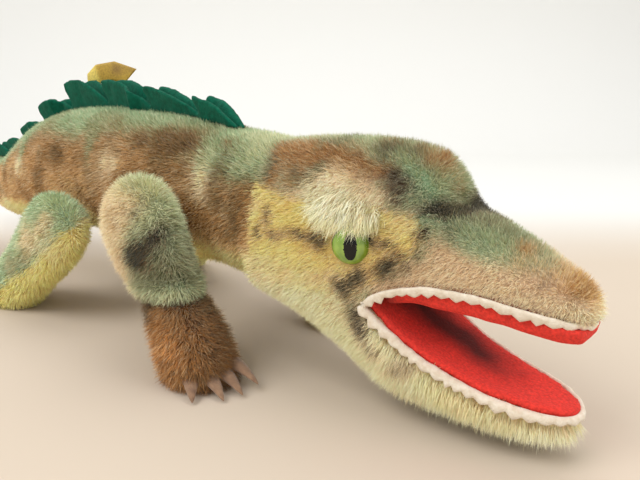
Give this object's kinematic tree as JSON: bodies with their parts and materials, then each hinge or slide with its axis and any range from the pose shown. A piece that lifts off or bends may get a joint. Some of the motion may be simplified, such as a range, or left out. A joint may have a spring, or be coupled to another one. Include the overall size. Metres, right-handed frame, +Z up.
{
  "type": "stuffed toy reptile",
  "caption": "Plush crested reptile on four turning legs, with an open felt-lined mouth, felt tooth strips, glass eyes and a felt crest along its back and tail.",
  "frame": {"origin": "on the floor plane under the middle of the whole toy", "axes": "+X to the snout, +Y to the toy's left, +Z up"},
  "size_m": [0.629, 0.1726, 0.1346],
  "materials": {
    "plush_back": "airbrushed mohair pile, mint green and brown",
    "plush_belly": "yellow mohair pile",
    "plush_face": "golden yellow mohair pile with dark spots",
    "plush_snout": "airbrushed mohair pile, green to beige",
    "plush_leg": "airbrushed mohair pile, mint green above and brown below",
    "wood_wool": "packed wood wool",
    "felt_red": "wool felt",
    "felt_white": "wool felt, pinked edge",
    "felt_green": "thick wool felt",
    "felt_claw": "felt",
    "eye_glass": "glossy painted-back glass with a black slit pupil",
    "steel_wire": "bright wire",
    "hardboard": "pressed board",
    "tag_paper": "plain yellow woven label"
  },
  "bodies": {
    "torso": {"back_skin_left": "plush_back", "back_skin_right": "plush_back", "belly_gusset": "plush_belly", "body_stuffing": "wood_wool", "crown_skin": "plush_back", "face_skin_left": "plush_face", "face_skin_right": "plush_face", "snout_skin": "plush_snout", "head_stuffing": "wood_wool", "palate_lining": "felt_red", "jaw_lining": "felt_red", "jaw_stuffing": "wood_wool", "jaw_skin": "plush_belly", "upper_teeth": "felt_white", "lower_teeth": "felt_white", "eye_left": "eye_glass", "eye_right": "eye_glass", "eye_shanks": "steel_wire", "crest_left": "felt_green", "crest_right": "felt_green", "blank_tag": "tag_paper", "body_joint_discs": "hardboard", "body_joint_washers": "steel_wire", "cotter_pins": "steel_wire"},
    "front_left_leg": {"front_left_leg_outer_skin": "plush_leg", "front_left_leg_inner_skin": "plush_belly", "front_left_leg_stuffing": "wood_wool", "front_left_leg_disc": "hardboard", "front_left_leg_washer": "steel_wire", "front_left_claws": "felt_claw"},
    "front_right_leg": {"front_right_leg_outer_skin": "plush_leg", "front_right_leg_inner_skin": "plush_belly", "front_right_leg_stuffing": "wood_wool", "front_right_leg_disc": "hardboard", "front_right_leg_washer": "steel_wire", "front_right_claws": "felt_claw"},
    "hind_left_leg": {"hind_left_leg_outer_skin": "plush_leg", "hind_left_leg_inner_skin": "plush_belly", "hind_left_leg_stuffing": "wood_wool", "hind_left_leg_disc": "hardboard", "hind_left_leg_washer": "steel_wire", "hind_left_claws": "felt_claw"},
    "hind_right_leg": {"hind_right_leg_outer_skin": "plush_leg", "hind_right_leg_inner_skin": "plush_belly", "hind_right_leg_stuffing": "wood_wool", "hind_right_leg_disc": "hardboard", "hind_right_leg_washer": "steel_wire", "hind_right_claws": "felt_claw"}
  },
  "joints": [
    {"name": "front_left_leg_turn", "type": "hinge", "parent": "torso", "child": "front_left_leg", "pos_m": [0.141, 0.04, 0.06], "axis": [0, -1, 0], "range_deg": [-60, 70]},
    {"name": "front_right_leg_turn", "type": "hinge", "parent": "torso", "child": "front_right_leg", "pos_m": [0.141, -0.04, 0.06], "axis": [0, -1, 0], "range_deg": [-60, 70]},
    {"name": "hind_left_leg_turn", "type": "hinge", "parent": "torso", "child": "hind_left_leg", "pos_m": [0.05, 0.04, 0.052], "axis": [0, -1, 0], "range_deg": [-60, 45]},
    {"name": "hind_right_leg_turn", "type": "hinge", "parent": "torso", "child": "hind_right_leg", "pos_m": [0.05, -0.04, 0.052], "axis": [0, -1, 0], "range_deg": [-60, 45]}
  ]
}
